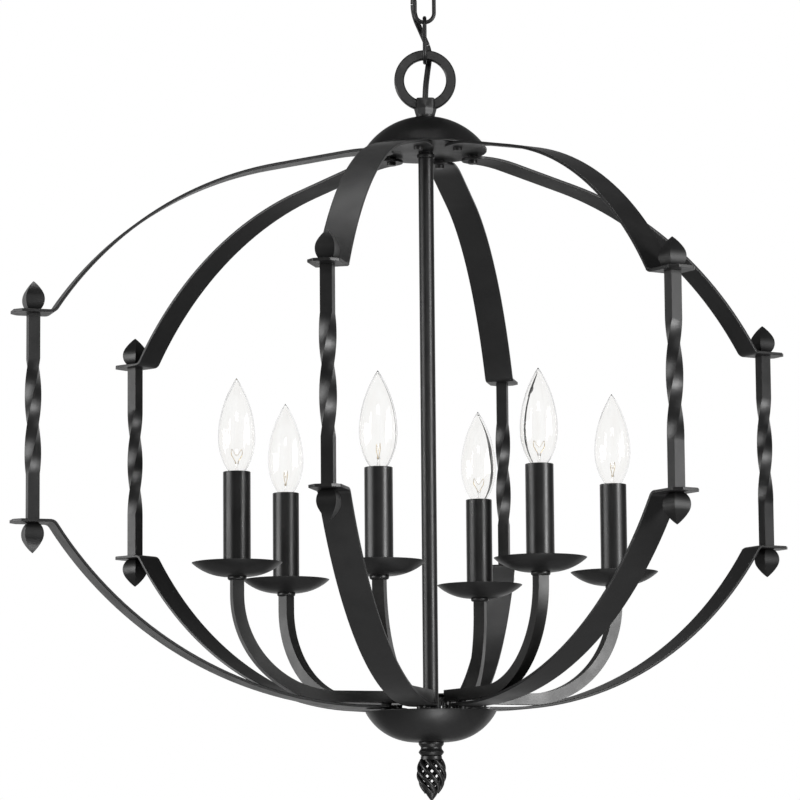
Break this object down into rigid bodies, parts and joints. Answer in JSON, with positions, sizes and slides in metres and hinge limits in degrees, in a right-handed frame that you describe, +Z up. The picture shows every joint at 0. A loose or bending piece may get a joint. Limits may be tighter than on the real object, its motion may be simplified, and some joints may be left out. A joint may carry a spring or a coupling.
{
  "type": "multi arm chandelier",
  "caption": "Open cage chandelier of flat straps and twisted posts, with candle arms round a centre rod, hung on a short chain from a round canopy.",
  "frame": {"origin": "centre of the crossbar's ceiling face, where the fitting bolts to the ceiling box", "axes": "+Z up, -Y towards the viewer's side, +X to the viewer's right"},
  "size_m": [0.6508, 0.6966, 0.7691],
  "materials": {
    "black_metal": "satin black paint on forged steel",
    "black_sleeve": "smooth matte black paint on thin steel tube",
    "dark_steel": "blackened steel",
    "zinc_steel": "zinc plated steel",
    "socket_plastic": "black phenolic",
    "connector_plastic": "moulded plastic",
    "cord_jacket": "black insulation",
    "wire_jacket": "black insulation",
    "bulb_glass": "clear blown glass"
  },
  "bodies": {
    "canopy": {"ceiling_crossbar": "zinc_steel", "crossbar_hardware": "zinc_steel", "canopy_pipe": "dark_steel", "canopy_loop": "black_metal", "wire_connectors": "connector_plastic"},
    "canopy_cover": {"canopy_shell": "black_metal", "screw_collar": "black_metal"},
    "upper_link": {"chain_link_3": "black_metal"},
    "middle_link": {"chain_link_2": "black_metal"},
    "lower_link": {"chain_link_1": "black_metal"},
    "fixture": {"supply_cord": "cord_jacket", "fixture_loop": "black_metal", "top_dome": "black_metal", "top_plate": "black_metal", "rod_collar": "black_metal", "centre_rod": "black_metal", "rod_pipes": "dark_steel", "bottom_plate": "black_metal", "bottom_dish": "black_metal", "finial_neck": "black_metal", "basket_finial": "black_metal", "post_finials": "black_metal", "strap_fasteners": "dark_steel", "pan_couplers": "black_metal", "candle_pipes": "dark_steel", "drip_pans": "black_metal", "candle_sleeves": "black_sleeve", "candle_sockets": "socket_plastic", "fixture_wires": "wire_jacket", "top_strap_1": "black_metal", "top_strap_2": "black_metal", "top_strap_3": "black_metal", "top_strap_4": "black_metal", "top_strap_5": "black_metal", "top_strap_6": "black_metal", "bottom_strap_1": "black_metal", "bottom_strap_2": "black_metal", "bottom_strap_3": "black_metal", "bottom_strap_4": "black_metal", "bottom_strap_5": "black_metal", "bottom_strap_6": "black_metal", "twisted_post_1": "black_metal", "twisted_post_2": "black_metal", "twisted_post_3": "black_metal", "twisted_post_4": "black_metal", "twisted_post_5": "black_metal", "twisted_post_6": "black_metal", "arm_1": "black_metal", "arm_2": "black_metal", "arm_3": "black_metal", "arm_4": "black_metal", "arm_5": "black_metal", "arm_6": "black_metal"},
    "bulb_body_1": {"bulb_1": "bulb_glass"},
    "bulb_body_2": {"bulb_2": "bulb_glass"},
    "bulb_body_3": {"bulb_3": "bulb_glass"},
    "bulb_body_4": {"bulb_4": "bulb_glass"},
    "bulb_body_5": {"bulb_5": "bulb_glass"},
    "bulb_body_6": {"bulb_6": "bulb_glass"}
  },
  "joints": [
    {"name": "canopy_cover_slide", "type": "slide", "parent": "canopy", "child": "canopy_cover", "axis": [0, 0, -1], "range_m": [0, 0.022], "deforming": ["supply_cord"]},
    {"name": "upper_link_swing", "type": "hinge", "parent": "canopy", "child": "upper_link", "pos_m": [0, 0, -0.048], "axis": [1, 0, 0], "range_deg": [-25, 25], "deforming": ["supply_cord"]},
    {"name": "middle_link_swing", "type": "hinge", "parent": "upper_link", "child": "middle_link", "pos_m": [0, 0, -0.08205], "axis": [0, 1, 0], "range_deg": [-25, 25], "deforming": ["supply_cord"]},
    {"name": "lower_link_swing", "type": "hinge", "parent": "middle_link", "child": "lower_link", "pos_m": [0, 0, -0.11645], "axis": [1, 0, 0], "range_deg": [-25, 25], "deforming": ["supply_cord"]},
    {"name": "fixture_swing", "type": "hinge", "parent": "lower_link", "child": "fixture", "pos_m": [0, 0, -0.15085], "axis": [0, 1, 0], "range_deg": [-25, 25], "deforming": ["supply_cord"]},
    {"name": "bulb_1_turn", "type": "hinge", "parent": "fixture", "child": "bulb_body_1", "pos_m": [0.15635, 0.06993, -0.518], "axis": [0, 0, 1], "range_deg": [0, 1080]},
    {"name": "bulb_2_turn", "type": "hinge", "parent": "fixture", "child": "bulb_body_2", "pos_m": [0.04453, 0.16294, -0.52], "axis": [0, 0, 1], "range_deg": [0, 1080]},
    {"name": "bulb_3_turn", "type": "hinge", "parent": "fixture", "child": "bulb_body_3", "pos_m": [-0.12183, 0.11176, -0.5185], "axis": [0, 0, 1], "range_deg": [0, 1080]},
    {"name": "bulb_4_turn", "type": "hinge", "parent": "fixture", "child": "bulb_body_4", "pos_m": [-0.15706, -0.04912, -0.5185], "axis": [0, 0, 1], "range_deg": [0, 1080]},
    {"name": "bulb_5_turn", "type": "hinge", "parent": "fixture", "child": "bulb_body_5", "pos_m": [-0.04073, -0.16205, -0.529], "axis": [0, 0, 1], "range_deg": [0, 1080]},
    {"name": "bulb_6_turn", "type": "hinge", "parent": "fixture", "child": "bulb_body_6", "pos_m": [0.08658, -0.14608, -0.5255], "axis": [0, 0, 1], "range_deg": [0, 1080]}
  ]
}
